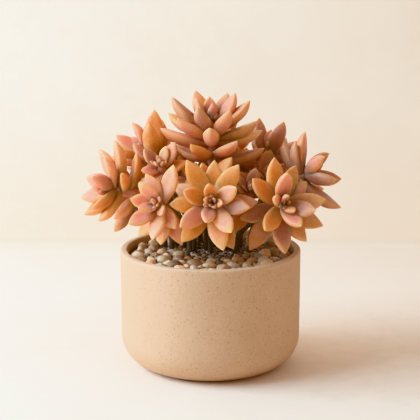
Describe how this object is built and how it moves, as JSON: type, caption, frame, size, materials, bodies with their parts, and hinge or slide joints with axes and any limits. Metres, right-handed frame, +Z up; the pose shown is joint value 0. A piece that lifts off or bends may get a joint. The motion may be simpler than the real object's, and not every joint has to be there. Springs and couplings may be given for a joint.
{
  "type": "potted sedum",
  "caption": "Fleshy leafy rosettes on bare stems growing through gravel in a round ceramic pot with a rounded foot; stands on its flat underside.",
  "frame": {"origin": "middle of the pot's flat underside", "axes": "+Z up, -Y is the side turned to the viewer, +X to the viewer's right"},
  "size_m": [0.1729, 0.1245, 0.181],
  "materials": {
    "ceramic": "matte, finely speckled",
    "soil": "loose dark potting mix of bark and peat",
    "gravel": "rounded pebbles, slightly polished",
    "stem": "smooth olive green plant stem",
    "leaf": "fleshy waxy leaf, satin"
  },
  "bodies": {
    "root": {"pot": "ceramic", "soil": "soil", "gravel": "gravel", "stem_front": "stem", "rosette_front": "leaf", "stem_right_front": "stem", "rosette_right_front": "leaf", "stem_left_front": "stem", "rosette_left_front": "leaf", "stem_top": "stem", "rosette_top": "leaf", "stem_left": "stem", "rosette_left": "leaf", "stem_right": "stem", "rosette_right": "leaf", "stem_left_mid": "stem", "rosette_left_mid": "leaf", "stem_left_tall": "stem", "rosette_left_tall": "leaf", "stem_right_up": "stem", "rosette_right_up": "leaf", "stem_left_back": "stem", "rosette_left_back": "leaf", "stem_mid_right": "stem", "rosette_mid_right": "leaf", "stem_mid": "stem", "rosette_mid": "leaf", "stem_right_mid": "stem", "rosette_right_mid": "leaf", "stem_back": "stem", "rosette_back": "leaf", "stem_back_right": "stem", "rosette_back_right": "leaf", "stem_back_left": "stem", "rosette_back_left": "leaf", "stem_back_high": "stem", "rosette_back_high": "leaf", "stem_side_right": "stem", "rosette_side_right": "leaf", "stem_side_left": "stem", "rosette_side_left": "leaf", "stem_heart_left": "stem", "rosette_heart_left": "leaf", "stem_heart_right": "stem", "rosette_heart_right": "leaf"}
  },
  "joints": []
}
